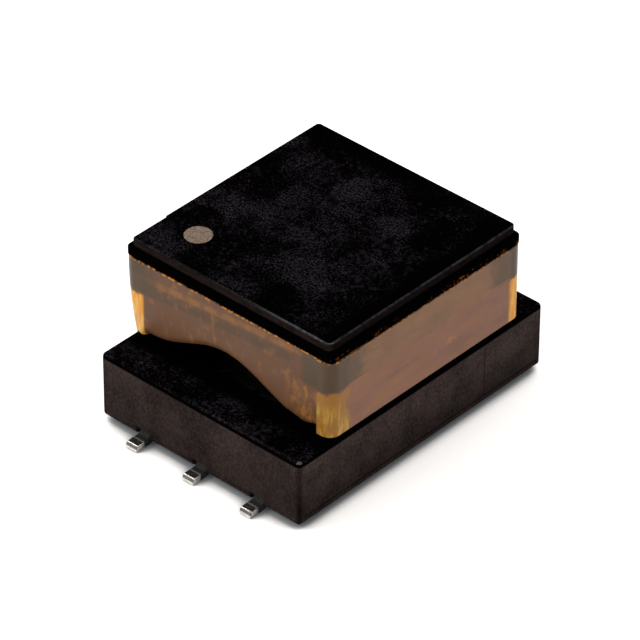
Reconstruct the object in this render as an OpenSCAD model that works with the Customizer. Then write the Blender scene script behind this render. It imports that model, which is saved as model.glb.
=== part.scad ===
// Small surface-mount transformer: a moulded base with six leads carries a
// wound coil between two ferrite core halves, and a tape wrap holds a flat
// pick-up cap over the upper half.
// Frame: +Z up, the board plane at z = 0, the leads at the two Y ends.
// Lead 1 is at the low X, low Y corner, next to the round mark on the cap.

/* [Coil] */
// Radius of the core's round centre post
post_r = 1.7; // [1.4:0.1:2]
// Play between the centre post and the coil former
former_fit = 0.1; // [0.05:0.01:0.15]
// Wall of the coil former's tube
former_wall = 0.3; // [0.25:0.05:0.4]
// Thickness of each flange of the coil former
flange_t = 0.3; // [0.25:0.05:0.4]
// Height of the winding space between the flanges
winding_h = 2.7; // [2.4:0.1:3]
// Diameter of the primary wire
primary_wire = 0.2; // [0.16:0.02:0.24]
// Layers of the primary winding
primary_layers = 2; // [1:1:2]
// Diameter of the secondary wire
secondary_wire = 0.25; // [0.2:0.01:0.3]
// Layers of the secondary winding
secondary_layers = 2; // [1:1:2]
// Thickness of each insulating tape on the coil
coil_tape_t = 0.06; // [0.05:0.01:0.1]
// Gap between one layer of the coil and the next
layer_gap = 0.01; // [0.005:0.005:0.02]
// How far the flanges stand out past the coil's last tape
flange_lip = 0.09; // [0.05:0.01:0.15]

/* [Core] */
// Length of the core, from one row of leads towards the other
core_l = 8.1; // [7.9:0.1:8.4]
// Thickness of the core's flat plates
plate_t = 1.1; // [0.9:0.1:1.3]
// Gap between the flanges and the core's outer legs
leg_gap = 0.15; // [0.1:0.05:0.3]
// Thickness of an outer leg at its thinnest, beside the coil
leg_t = 0.7; // [0.6:0.05:0.9]
// How much thicker the outer legs are at their ends
leg_end_extra = 0.1; // [0:0.05:0.15]
// Play above the coil former in the core's window
former_play = 0.12; // [0.05:0.01:0.2]
// Chamfer on the core's upright edges
core_chamfer = 0.2; // [0.1:0.05:0.3]

/* [Base] */
// Height of the base's underside above the board
standoff = 0.2; // [0.15:0.01:0.24]
// Height of the base
base_h = 2.55; // [2.3:0.05:2.7]
// Wall of the base beside the core
side_wall = 0.25; // [0.2:0.05:0.4]
// Thickness of the end blocks that hold the leads
end_block = 1.85; // [1.7:0.05:2.2]
// Play round the core in the base's pocket
core_fit = 0.05; // [0.03:0.01:0.1]
// Thickness of the lips under the core
lip_t = 0.25; // [0.2:0.05:0.4]
// Reach of the lips under the core
lip_w = 0.5; // [0.3:0.1:0.8]
// Radius of the base's upright edges
base_corner_r = 0.12; // [0.08:0.02:0.2]
// Radius along the base's top edges
base_top_r = 0.12; // [0.08:0.02:0.18]
// Radius along the base's bottom edges
base_low_r = 0.2; // [0.1:0.02:0.25]
// Height of the parting band along the bottom of each side
band_h = 0.3; // [0.25:0.05:0.4]
// How far the parting band is set back from the side
band_set = 0.03; // [0.02:0.01:0.05]
// Length of side at each end that the parting band leaves plain
band_end = 0.22; // [0.2:0.02:0.4]
// Width of the upright seam in the side
seam_w = 0.04; // [0.03:0.01:0.06]
// Distance of the upright seam from the middle of the side
seam_y = 3.04; // [2.6:0.02:3.6]

/* [Leads] */
// Spacing of the leads
pitch = 2.54; // [2.5:0.01:2.6]
// Width of a lead
lead_w = 0.45; // [0.4:0.01:0.5]
// Thickness of a lead
lead_t = 0.25; // [0.2:0.01:0.28]
// How far a lead's foot reaches past the base
foot_reach = 0.55; // [0.4:0.05:0.8]
// Rise of a lead from its foot into the end block
lead_rise = 0.27; // [0.26:0.01:0.4]
// Inner radius of the lead's bends
bend_r = 0.1; // [0.06:0.01:0.14]
// Chamfer on the tip of the foot
tip_chamfer = 0.08; // [0.04:0.01:0.1]
// How far a lead's tail pokes out into its slot in the block
tail_out = 0.4; // [0.3:0.05:0.45]
// Clearance round a lead where it passes through the block
lead_fit = 0.01; // [0.005:0.005:0.02]
// Width of the notch over each lead
notch_w = 0.65; // [0.6:0.01:0.8]
// Clearance between a lead and the ceiling of its notch
notch_gap = 0.02; // [0.01:0.01:0.1]
// Width of the slot for each lead-out wire
slot_w = 0.9; // [0.8:0.05:1]
// Depth of the slot for each lead-out wire
slot_d = 0.6; // [0.55:0.05:0.7]
// Plastic left above the slots
slot_roof = 0.55; // [0.4:0.05:0.6]
// Diameter of the lead-out wires
lead_out_d = 0.14; // [0.1:0.01:0.18]
// Radius of a solder joint
solder_r = 0.3; // [0.27:0.01:0.33]
// Length of a solder joint
solder_l = 0.38; // [0.3:0.02:0.42]

/* [Cap] */
// Thickness of the cap's top over the core
cap_top_t = 0.52; // [0.4:0.02:0.7]
// Wall of the cap beside the core
cap_side_wall = 0.3; // [0.25:0.01:0.4]
// Wall of the cap at the core's ends
cap_end_wall = 0.45; // [0.4:0.01:0.6]
// How far the cap's rim stands out past its skirt
rim_out = 0.05; // [0.04:0.01:0.08]
// Height of the rim
rim_h = 0.31; // [0.25:0.01:0.4]
// Height of the top plate above the rim
plate_h = 0.34; // [0.28:0.01:0.4]
// Ledge between the plate and the rim along the sides
ledge_side = 0.15; // [0.12:0.01:0.2]
// Ledge between the plate and the rim at the ends
ledge_end = 0.1; // [0.08:0.01:0.15]
// Height of the skirt under the rim
skirt_h = 1.35; // [1.2:0.05:1.5]
// Radius of the plate's and the rim's corners
rim_r = 0.12; // [0.08:0.01:0.2]
// Radius of the skirt's corners
skirt_r = 0.32; // [0.25:0.01:0.4]
// Chamfer round the top of the plate
plate_chamfer = 0.05; // [0.03:0.01:0.08]
// Thickness of the adhesive between the core and the cap
glue_t = 0.06; // [0.04:0.01:0.1]
// Length of the index step at the corner of lead 1
index_l = 1.66; // [1.4:0.02:2]
// Depth of the index step
index_d = 0.1; // [0.05:0.01:0.1]
// Diameter of the round mark for lead 1
mark_d = 0.96; // [0.8:0.02:1.2]
// Depth of the round mark
mark_t = 0.03; // [0.02:0.01:0.05]
// Distance of the mark's centre from the plate's side
mark_side = 1.55; // [1.2:0.02:1.8]
// Distance of the mark's centre from the plate's end
mark_end = 1.55; // [1.2:0.02:1.8]

/* [Tape] */
// Thickness of one turn of tape
tape_t = 0.045; // [0.03:0.005:0.06]
// Width of the tape
tape_w = 2.94; // [2.7:0.02:3]
// Clearance between the tape and what it is wrapped on
tape_gap = 0.005; // [0.003:0.001:0.01]
// Overlap of the tape's two ends round the corner
tape_overlap = 1.2; // [0.9:0.1:2]
// Distance of the outer end from the corner, on the low Y face
tape_end = 0.52; // [0.42:0.02:1]
// Height of the arch's crown above the tape's lower edge, on the low Y face
arch_rise = 1.2; // [0.6:0.05:1.3]
// Distance of the arch's crown from the middle of the face
arch_x = -0.15; // [-0.6:0.05:0.6]
// Half width of the arch towards lead 1
arch_near = 3.3; // [2.6:0.1:3.6]
// Half width of the arch towards lead 3
arch_far = 3.6; // [2.6:0.1:3.7]
// Height at which the arch ends towards lead 1
foot_near = 0.28; // [0.1:0.02:0.3]
// Height at which the arch ends towards lead 3
foot_far = 0.14; // [0.05:0.01:0.3]
// Height of the lower edge where it passes behind the outer end
tuck_rise = 0.36; // [0.1:0.02:0.38]
// Rise of the fold at the middle of the high Y face
back_rise = 0.5; // [0:0.05:1]
// Turn of the fold, from hanging straight down
fold_turn = 70; // [45:1:75]
// Radius of the fold
fold_r = 0.3; // [0.2:0.02:0.32]

/* [Hidden] */
$fn = 48;
over = 0.5;                     // how far a cutting tool runs past what it cuts
kink = 1.12;                    // how much a lead-out wire swells where it turns

// Coil, from the post outwards
tube_in = post_r + former_fit;
tube_out = tube_in + former_wall;
primary_in = tube_out + layer_gap;
primary_out = primary_in + primary_layers * primary_wire;
interlayer_in = primary_out + layer_gap;
secondary_in = interlayer_in + coil_tape_t + layer_gap;
secondary_out = secondary_in + secondary_layers * secondary_wire;
cover_in = secondary_out + layer_gap;
flange_r = cover_in + coil_tape_t + flange_lip;
window_r = flange_r + leg_gap;

// Core
core_w = 2 * (window_r + leg_t);
former_h = winding_h + 2 * flange_t;
half_h = plate_t + (former_h + former_play) / 2;
core_z = standoff + lip_t;
coil_z = core_z + plate_t;
winding_z = coil_z + flange_t;
core_top = core_z + 2 * half_h;

// Base
pocket_w = core_w + 2 * core_fit;
pocket_l = core_l + 2 * core_fit;
base_w = pocket_w + 2 * side_wall;
base_l = pocket_l + 2 * end_block;
base_top = standoff + base_h;

// Leads: each runs outwards along u from its slot to the tip of its foot
bend_c = bend_r + lead_t / 2;                       // radius of the middle of the bend
bend_a = acos(1 - lead_rise / (2 * bend_c));        // turn of each of the two bends
bend_run = 2 * bend_c * sin(bend_a);                // length of the two bends
foot_end = base_l / 2 + foot_reach;
bend_out = base_l / 2;                              // the foot turns up under the base's edge
bend_in = bend_out - bend_run;
tail_end = pocket_l / 2 + slot_d - tail_out;
tail_z = lead_rise + lead_t / 2;
notch_d = bend_run + lead_fit;
slot_u = pocket_l / 2 + slot_d / 2;                 // middle of a lead-out slot
lead_out_z = winding_z - flange_t / 2;              // lead-outs lie in the flange's slots
solder_u = tail_end + solder_l / 2 - tail_out / 5;  // middle of a solder joint

// Cap and tape
cap_under = core_top + glue_t;
cap_top = cap_under + cap_top_t;
rim_z = cap_top - plate_h - rim_h;
skirt_w = pocket_w + 2 * cap_side_wall;
skirt_l = pocket_l + 2 * cap_end_wall;
rim_w = skirt_w + 2 * rim_out;
rim_l = skirt_l + 2 * rim_out;
top_w = rim_w - 2 * ledge_side;
top_l = rim_l - 2 * ledge_end;
mark_x = -top_w / 2 + mark_side;
mark_y = -top_l / 2 + mark_end;

moulded = [0.13, 0.12, 0.12];
ferrite = [0.22, 0.22, 0.23];
tinned = [0.8, 0.79, 0.76];
copper = [0.72, 0.36, 0.18];
amber = [0.62, 0.42, 0.24];

function pin_x(i) = i <= 3 ? (i - 2) * pitch : (5 - i) * pitch;
function pin_side(i) = i <= 3 ? -1 : 1;

// ---- shared shapes ----

// A rectangle with round corners, centred
module round_rect(w, l, r) {
    square([w - 2 * r, l], center = true);
    square([w, l - 2 * r], center = true);
    for (x = [-1, 1], y = [-1, 1])
        translate([x * (w / 2 - r), y * (l / 2 - r)]) circle(r = r);
}

// A face of the base seen square on, with its own radii at the top and the bottom
module edge_profile(w, h, top_r, low_r) {
    translate([-w / 2, low_r]) square([w, h - low_r - top_r]);
    translate([-w / 2 + top_r, h / 2]) square([w - 2 * top_r, h / 2]);
    translate([-w / 2 + low_r, 0]) square([w - 2 * low_r, h / 2]);
    for (x = [-1, 1]) {
        translate([x * (w / 2 - top_r), h - top_r]) circle(r = top_r);
        translate([x * (w / 2 - low_r), low_r]) circle(r = low_r);
    }
}

// Its children, placed at the end of the base that holds lead i, with u along +Y
module at_pin(i) {
    mirror([0, pin_side(i) < 0 ? 1 : 0, 0]) translate([pin_x(i), 0, 0]) children();
}

// A ring about the coil's axis
module ring(r_in, r_out, z, h) {
    translate([0, 0, z])
        rotate_extrude() translate([r_in, 0]) square([r_out - r_in, h]);
}

// ---- base ----

module base_blank() {
    intersection() {
        translate([0, 0, standoff])
            linear_extrude(base_h) round_rect(base_w, base_l, base_corner_r);
        translate([0, base_l / 2 + over, standoff]) rotate([90, 0, 0])
            linear_extrude(base_l + 2 * over)
                edge_profile(base_w, base_h, base_top_r, base_low_r);
        translate([-base_w / 2 - over, 0, standoff]) rotate([90, 0, 90])
            linear_extrude(base_w + 2 * over)
                edge_profile(base_l, base_h, base_top_r, base_low_r);
    }
}

// The pocket for the core: full size above the lips, narrower between them
module core_pocket() {
    translate([-pocket_w / 2, -pocket_l / 2, core_z])
        cube([pocket_w, pocket_l, base_h]);
    translate([-pocket_w / 2 + lip_w, -pocket_l / 2, 0])
        cube([pocket_w - 2 * lip_w, pocket_l, core_z + over]);
}

// What one lead needs in its end block: a notch, a passage and a lead-out slot
module lead_cuts(i) {
    slot_h = base_top - slot_roof;
    at_pin(i) {
        translate([-notch_w / 2, base_l / 2 - notch_d, 0])
            cube([notch_w, notch_d + over, lead_rise + lead_t + notch_gap]);
        translate([-slot_w / 2, pocket_l / 2 - over, 0])
            cube([slot_w, slot_d + over, slot_h]);
        translate([-lead_w / 2 - lead_fit, pocket_l / 2, lead_rise - lead_fit])
            cube([lead_w + 2 * lead_fit, end_block - notch_d + lead_fit,
                  lead_t + 2 * lead_fit]);
    }
}

// The shallow parting band low on a side, and the seam that rises from it
module side_lines() {
    band_l = base_l - 2 * band_end;
    translate([base_w / 2 - band_set, 0, standoff]) rotate([90, 0, 90])
        linear_extrude(over) {
            translate([-band_l / 2, -over]) square([band_l, over + band_h / 2]);
            translate([0, band_h / 4]) round_rect(band_l, 1.5 * band_h, band_h / 2);
        }
    translate([base_w / 2 - band_set, seam_y - seam_w / 2, standoff + band_h / 2])
        cube([over, seam_w, base_h]);
}

module base_housing() {
    color(moulded) difference() {
        base_blank();
        core_pocket();
        for (i = [1:6]) lead_cuts(i);
        for (m = [0, 1]) mirror([m, 0, 0]) side_lines();
    }
}

// ---- leads and solder ----

// The middle line of the lead's two bends, each point with its upward normal
function bend_points() = [
    for (k = [0:6]) let (a = bend_a * k / 6)
        [bend_out - bend_c * sin(a), lead_t / 2 + bend_c * (1 - cos(a)), sin(a), cos(a)],
    for (k = [0:6]) let (a = bend_a * (1 - k / 6))
        [bend_in + bend_c * sin(a), tail_z - bend_c * (1 - cos(a)), sin(a), cos(a)]
];

module lead_profile() {
    line = concat([[foot_end, lead_t / 2, 0, 1]], bend_points(), [[tail_end, tail_z, 0, 1]]);
    upper = [for (p = line) [p[0] + p[2] * lead_t / 2, p[1] + p[3] * lead_t / 2]];
    lower = [for (p = line) [p[0] - p[2] * lead_t / 2, p[1] - p[3] * lead_t / 2]];
    count = len(line);
    difference() {
        polygon(concat(upper, [for (k = [1:count]) lower[count - k]]));
        translate([foot_end, lead_t]) rotate(45)
            square(tip_chamfer * sqrt(2), center = true);
    }
}

module terminal(i) {
    color(tinned) at_pin(i)
        translate([-lead_w / 2, 0, 0]) rotate([90, 0, 90])
            linear_extrude(lead_w) lead_profile();
}

// A round blob of solder on the lead's tail, where the lead-out wire ends
module solder_joint(i) {
    color(tinned) at_pin(i)
        difference() {
            intersection() {
                translate([0, solder_u - solder_l / 2, tail_z]) rotate([-90, 0, 0])
                    cylinder(r = solder_r, h = solder_l);
                translate([0, solder_u, tail_z]) sphere(r = solder_r * 1.12);
            }
            translate([-lead_w / 2, tail_end, lead_rise])
                cube([lead_w, end_block, lead_t]);
        }
}

// ---- core ----

// One half, lying on its plate, with its legs and centre post up
module core_half() {
    difference() {
        linear_extrude(half_h) intersection() {
            square([core_w, core_l], center = true);
            rotate(45) square((core_w + core_l) / sqrt(2) - core_chamfer * sqrt(2),
                              center = true);
        }
        translate([0, 0, plate_t]) difference() {
            union() {
                cylinder(r = window_r, h = half_h);
                translate([leg_end_extra - window_r, -core_l / 2 - over, 0])
                    cube([2 * (window_r - leg_end_extra), core_l + 2 * over, half_h]);
            }
            cylinder(r = post_r, h = half_h);
        }
    }
}

module core_lower() {
    color(ferrite) translate([0, 0, core_z]) core_half();
}

module core_upper() {
    color(ferrite) translate([0, 0, core_top]) mirror([0, 0, 1]) core_half();
}

// ---- coil ----

// The direction of a lead-out, from the coil's axis to its slot in the base
function lead_out_angle(i) = atan2(pin_side(i) * slot_u, pin_x(i));

module coil_former() {
    color("dimgray") difference() {
        union() {
            ring(tube_in, tube_out, coil_z, former_h);
            ring(tube_in, flange_r, coil_z, flange_t);
            ring(tube_in, flange_r, winding_z + winding_h, flange_t);
        }
        for (i = [1:6]) rotate(lead_out_angle(i))
            translate([tube_out, -lead_out_d, coil_z - over])
                cube([flange_r, 2 * lead_out_d, flange_t + over]);
    }
}

// Height at which a winding starts, so that its whole turns fill the space evenly
function wound_z(wire) = winding_z + (winding_h - floor(winding_h / wire) * wire) / 2;

// Layers of wire side by side: flat inside, ribbed by the turns outside
module wound(r_in, wire, layers) {
    turns = floor(winding_h / wire);
    r_mid = r_in + (layers - 0.5) * wire;
    ribs = [for (k = [0:turns - 1], a = [-60, -20, 20, 60])
        [r_mid + wire / 2 * cos(a), (k + 0.5) * wire + wire / 2 * sin(a)]];
    translate([0, 0, wound_z(wire)])
        rotate_extrude()
            polygon(concat([[r_mid, turns * wire], [r_in, turns * wire],
                            [r_in, 0], [r_mid, 0]], ribs));
}

// A wire from the bottom of a winding, along its flange slot and down to the solder
module lead_out(i, r_from, z_from) {
    at = [pin_x(i), pin_side(i) * slot_u];
    a = lead_out_angle(i);
    reach = norm(at);
    r = lead_out_d / 2;
    solder_top = tail_z + solder_r;
    translate([r_from * cos(a), r_from * sin(a), lead_out_z - r])
        cylinder(r = kink * r, h = z_from - lead_out_z + r);
    rotate(a) translate([r_from, 0, lead_out_z]) rotate([0, 90, 0])
        cylinder(r = r, h = reach - r_from);
    translate([at[0], at[1], solder_top])
        cylinder(r = kink * r, h = lead_out_z + r - solder_top);
}

module primary_winding() {
    color(copper) {
        wound(primary_in, primary_wire, primary_layers);
        for (i = [1:3])
            lead_out(i, primary_in + primary_wire / 2, wound_z(primary_wire));
    }
}

module interlayer_tape() {
    color(amber) ring(interlayer_in, interlayer_in + coil_tape_t, winding_z, winding_h);
}

module secondary_winding() {
    color(copper) {
        wound(secondary_in, secondary_wire, secondary_layers);
        for (i = [4:6])
            lead_out(i, secondary_in + secondary_wire / 2, wound_z(secondary_wire));
    }
}

module coil_cover_tape() {
    color(amber) ring(cover_in, cover_in + coil_tape_t, winding_z, winding_h);
}

// ---- cap ----

module cap_adhesive() {
    spot_r = post_r + former_wall;
    color("gainsboro") for (x = [-1, 1], y = [-1, 1])
        translate([x * spot_r, y * spot_r, core_top]) cylinder(r = spot_r / 2, h = glue_t);
}

module cap_outline() {
    translate([0, 0, rim_z - skirt_h])
        linear_extrude(skirt_h + rim_h / 2) round_rect(skirt_w, skirt_l, skirt_r);
    translate([0, 0, rim_z]) linear_extrude(rim_h) round_rect(rim_w, rim_l, rim_r);
    intersection() {
        translate([0, 0, rim_z]) linear_extrude(rim_h + plate_h)
            round_rect(top_w, top_l, rim_r);
        translate([0, top_l, rim_z]) rotate([90, 0, 0]) linear_extrude(2 * top_l)
            plate_profile(top_w);
        translate([-top_w, 0, rim_z]) rotate([90, 0, 90]) linear_extrude(2 * top_w)
            plate_profile(top_l);
    }
}

// The plate's face seen square on, with a chamfer along its top edge
module plate_profile(w) {
    h = rim_h + plate_h;
    c = plate_chamfer;
    polygon([[-w / 2, 0], [w / 2, 0], [w / 2, h - c], [w / 2 - c, h],
             [-w / 2 + c, h], [-w / 2, h - c]]);
}

module top_cap() {
    color(moulded) difference() {
        cap_outline();
        translate([-pocket_w / 2, -pocket_l / 2, rim_z - skirt_h - over])
            cube([pocket_w, pocket_l, cap_under - rim_z + skirt_h + over]);
        translate([-top_w / 2 - over, -top_l / 2 - over, cap_top - plate_h])
            cube([index_d + over, index_l + over, plate_h + over]);
        translate([mark_x, mark_y, cap_top - mark_t]) cylinder(d = mark_d, h = over);
    }
}

module pin_one_mark() {
    color("tan") translate([mark_x, mark_y, cap_top - mark_t])
        cylinder(d = mark_d, h = mark_t);
}

// ---- tape wrap ----
// One strip that goes once round the skirt and overlaps itself past one corner.
// It lies flat on the cap and hangs straight below it. On the Y faces its lower
// part is folded in under along an arch, towards the coil.

face_x = skirt_w / 2 + tape_gap;                 // inner face of the tape, on the X sides
face_y = skirt_l / 2 + tape_gap;                 // and at the Y ends
turn_r = skirt_r + tape_gap;                     // inner radius round the corners
straight_x = face_x - turn_r;
straight_y = face_y - turn_r;
end_x = straight_x + turn_r - tape_end;          // where the outer end is cut
step_out = tape_t + tape_gap;                    // how far the outer end lies out
fold_over = 0.12;                                // tape in a fold beyond what it rises
fold_min = 0.42;                                 // shortest stretch that folds
fold_run = fold_r * fold_turn * PI / 180;        // length of the bend itself
near_start = 0.24;                               // flat length before the near foot
near_run = 0.4;                                  // length over which the near foot rises
tuck_run = 0.75;                                 // length over which the tuck rises

// A smooth hill from 1 at t = 0 to 0 at t = 1 and beyond
function hill(t) = abs(t) >= 1 ? 0 : (1 + cos(180 * t)) / 2;

// How high the fold lifts the tape's visible lower edge, along each Y face
function rise_low(x) = x < arch_x
    ? foot_near * hill(min(0, (x + straight_x - near_start) / near_run - 1))
      + (arch_rise - foot_near) * hill((arch_x - x) / arch_near)
    : foot_far + (tuck_rise - foot_far) * hill((x - end_x) / tuck_run)
      + (arch_rise - foot_far) * hill((x - arch_x) / arch_far);

function rise_high(x) = back_rise * hill(x / straight_x);

// Stations round the wrap: [x, y, normal x, normal y, rise of the fold]
function corner(cx, cy, from, rise_a, rise_b) = [
    for (k = [1:7]) let (a = from + 90 * k / 8)
        [cx + turn_r * cos(a), cy + turn_r * sin(a), cos(a), sin(a),
         rise_a + (rise_b - rise_a) * k / 8]
];

outer_run = concat(
    [for (k = [0:2]) [end_x + (straight_x - end_x) * k / 2, -face_y, 0, -1, 0]],
    corner(straight_x, -straight_y, -90, 0, 0),
    [for (k = [0:4]) [face_x, straight_y * (k / 2 - 1), 1, 0, 0]],
    corner(straight_x, straight_y, 0, 0, 0),
    [for (k = [0:12]) let (x = straight_x * (1 - k / 6)) [x, face_y, 0, 1, rise_high(x)]],
    corner(-straight_x, straight_y, 90, 0, 0),
    [for (k = [0:4]) [-face_x, straight_y * (1 - k / 2), -1, 0, 0]]
);
inner_run = concat(
    corner(-straight_x, -straight_y, 180, 0, 0),
    [for (k = [0:36]) let (x = straight_x * (k / 18 - 1)) [x, -face_y, 0, -1, rise_low(x)]]
);
tucked_end = concat(
    corner(straight_x, -straight_y, -90, rise_low(straight_x), 0),
    [for (k = [0:2]) [face_x, -straight_y + tape_overlap * k / 2, 1, 0, 0]]
);
wrap = concat(outer_run, inner_run, tucked_end);

// The outer run lies a full step out. The inner run winds in to the skirt, and is
// home a few stations before it passes under the outer end.
full = len(outer_run) - 1;
home = full + len(inner_run) - 3;
function step_at(i) = step_out * (i <= full ? 1 : i >= home ? 0
                                  : 1 - (i - full) / (home - full));

// Rows of points across the strip: down the face, round the fold, then the lower edge
bend_rows = 4;
row_count = bend_rows + 4;

// A point of the strip at station i and row j, t out from the strip's inner face
function strip_point(i, j, t) =
    let (s = wrap[i], rise = s[4],
         folded = max(fold_min, rise + fold_over),
         turn = max(0.01, fold_turn * min(1, rise / (fold_min - fold_over))),
         along = j < 3 ? 0 : j < 3 + bend_rows ? fold_run * (j - 2) / bend_rows : folded,
         past = max(0, along - fold_run),
         a = turn * min(1, along / fold_run),
         r = fold_run / (turn * PI / 180),
         inwards = r * (1 - cos(a)) + past * sin(a),
         down = (tape_w - folded) * min(1, j / 2) + r * sin(a) + past * cos(a),
         out = step_at(i) - inwards + t * cos(a))
    [s[0] + s[2] * out, s[1] + s[3] * out, rim_z - tape_gap - down - t * sin(a)];

module tape_wrap() {
    n = len(wrap);
    m = row_count;
    size = n * m;
    points = [for (t = [0, tape_t], i = [0:n - 1], j = [0:m - 1]) strip_point(i, j, t)];
    function pair(a, b, c, d) = [[a, b, c], [a, c, d]];
    // Quads between neighbouring stations and rows, on the outer and inner faces
    faces = concat(
        [for (i = [0:n - 2], j = [0:m - 2]) let (a = i * m + j)
            each pair(size + a, size + a + 1, size + a + m + 1, size + a + m)],
        [for (i = [0:n - 2], j = [0:m - 2]) let (a = i * m + j)
            each pair(a, a + m, a + m + 1, a + 1)],
        // The two long edges, then the two cut ends
        [for (i = [0:n - 2]) let (a = i * m) each pair(a, size + a, size + a + m, a + m)],
        [for (i = [0:n - 2]) let (a = i * m + m - 1)
            each pair(a, a + m, size + a + m, size + a)],
        [for (j = [0:m - 2]) each pair(j, j + 1, size + j + 1, size + j)],
        [for (j = [0:m - 2]) let (a = (n - 1) * m + j)
            each pair(a, size + a, size + a + 1, a + 1)]
    );
    color(amber) polyhedron(points = points, faces = faces);
}

base_housing();
terminal(1);  // terminal_1
terminal(2);  // terminal_2
terminal(3);  // terminal_3
terminal(4);  // terminal_4
terminal(5);  // terminal_5
terminal(6);  // terminal_6
core_lower();
core_upper();
coil_former();
primary_winding();
interlayer_tape();
secondary_winding();
coil_cover_tape();
solder_joint(1);  // solder_joint_1
solder_joint(2);  // solder_joint_2
solder_joint(3);  // solder_joint_3
solder_joint(4);  // solder_joint_4
solder_joint(5);  // solder_joint_5
solder_joint(6);  // solder_joint_6
cap_adhesive();
top_cap();
pin_one_mark();
tape_wrap();
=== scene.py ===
"""Looks of a small surface-mount transformer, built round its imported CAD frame.

The base and the cap are their CAD solids with eased edges, and the tape wrap is
modelled here as one thin strip that winds round the cap's skirt. The leads, core and
coil keep their CAD shapes. Every piece gets a procedural material. Everything is in
metres, and patterns are laid out in millimetres.
"""

import math

import bpy
from bpy.props import FloatProperty, FloatVectorProperty, PointerProperty
from mathutils import Matrix, Vector, noise


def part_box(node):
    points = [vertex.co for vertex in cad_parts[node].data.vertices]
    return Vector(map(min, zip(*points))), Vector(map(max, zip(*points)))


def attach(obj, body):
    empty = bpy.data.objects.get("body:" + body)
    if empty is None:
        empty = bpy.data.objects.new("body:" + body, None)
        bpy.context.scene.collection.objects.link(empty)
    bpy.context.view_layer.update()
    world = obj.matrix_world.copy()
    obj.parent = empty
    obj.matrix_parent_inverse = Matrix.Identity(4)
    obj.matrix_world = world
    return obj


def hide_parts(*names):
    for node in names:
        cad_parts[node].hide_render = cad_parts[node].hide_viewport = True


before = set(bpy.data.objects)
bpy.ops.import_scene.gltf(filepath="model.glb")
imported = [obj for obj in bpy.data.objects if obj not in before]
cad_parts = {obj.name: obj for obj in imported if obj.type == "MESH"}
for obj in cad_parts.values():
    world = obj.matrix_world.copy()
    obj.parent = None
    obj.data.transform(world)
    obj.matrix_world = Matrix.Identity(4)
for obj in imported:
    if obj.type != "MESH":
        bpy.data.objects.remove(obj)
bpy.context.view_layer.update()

bl_info = {
    "name": "Surface-mount transformer",
    "version": (1, 0, 0),
    "blender": (4, 5, 0),
    "location": "View3D > Sidebar > Transformer",
    "description": "Dresses the packed frame of a small surface-mount transformer",
    "category": "Object",
}

MM = 0.001


# ---- sizes and colours a user would change ----

def length(name, description, millimetres):
    """A length property, held in metres."""
    return FloatProperty(name=name, description=description, default=millimetres * MM,
                         precision=5, subtype="DISTANCE", unit="LENGTH")


def angle(name, description, degrees):
    """An angle property, held in radians."""
    return FloatProperty(name=name, description=description,
                         default=math.radians(degrees), subtype="ANGLE", unit="ROTATION")


def amount(name, description, value):
    """A plain number."""
    return FloatProperty(name=name, description=description, default=value, precision=3)


def colour(name, description, rgb):
    """A linear colour."""
    return FloatVectorProperty(name=name, description=description, default=rgb,
                               size=3, min=0, max=1, subtype="COLOR")


class TapeSizes(bpy.types.PropertyGroup):
    """Sizes of the tape wrap."""
    thickness: length("Thickness", "Thickness of the film", 0.045)
    turn_radius: length("Corner radius", "Inner radius of the tape round a corner", 0.325)
    overlap: length("Overlap", "How far the inner end passes the corner", 1.2)
    outer_end: length("Outer end", "Distance of the cut end from the corner", 0.52)
    arch_rise: length("Arch rise", "Height of the arch's crown over the lower edge", 1.2)
    arch_x: length("Arch place", "Distance of the crown from the middle", -0.15)
    arch_near: length("Near half", "Half width of the arch towards lead 1", 3.3)
    arch_far: length("Far half", "Half width of the arch towards lead 3", 3.6)
    foot_near: length("Near foot", "Height at which the arch ends towards lead 1", 0.28)
    foot_far: length("Far foot", "Height at which the arch ends towards lead 3", 0.14)
    tuck_rise: length("Tuck", "Height of the edge where it passes under the outer end", 0.36)
    back_rise: length("Back rise", "Rise of the fold at the middle of the far end", 0.5)
    fold_turn: angle("Fold turn", "Turn of the fold from hanging straight down", 70)
    fold_radius: length("Fold radius", "Radius of the fold", 0.3)
    fold_over: length("Fold over", "Tape in a fold beyond what it rises", 0.12)
    fold_least: length("Least fold", "Shortest stretch of tape that folds", 0.42)
    layer_gap: length("Layer gap", "Clearance between two layers of the tape", 0.005)
    settled: length("Settled", "Where the inner layer is home, short of the last corner", 0.7)
    near_start: length("Near start", "Flat length before the near foot", 0.24)
    near_run: length("Near run", "Length over which the near foot rises", 0.4)
    tuck_run: length("Tuck run", "Length over which the tuck rises", 0.75)
    droop: length("Droop", "How far the corner at lead 1 hangs lower", 0.28)
    droop_end: length("Droop, end", "Reach of the droop along the arched face", 0.4)
    droop_side: length("Droop, side", "Reach of the droop along the long side", 3.0)
    corner_lean: angle("Corner lean", "Inward lean of the corner at lead 1", 4.6)
    lean_from: length("Lean from", "Depth at which that corner starts to lean in", 0.25)
    lean_end: length("Lean, end", "Reach of the lean along the arched face", 0.75)
    lean_side: length("Lean, side", "Reach of the lean along the long side", 3.5)
    fringe: length("Fringe", "Depth of the ragged teeth along the top edge", 0.05)
    coarse_tooth: length("Coarse teeth", "Spacing of the coarse teeth", 0.35)
    fine_tooth: length("Fine teeth", "Spacing of the fine teeth", 0.09)
    station: length("Station", "Spacing of the mesh along the strip", 0.06)


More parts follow.
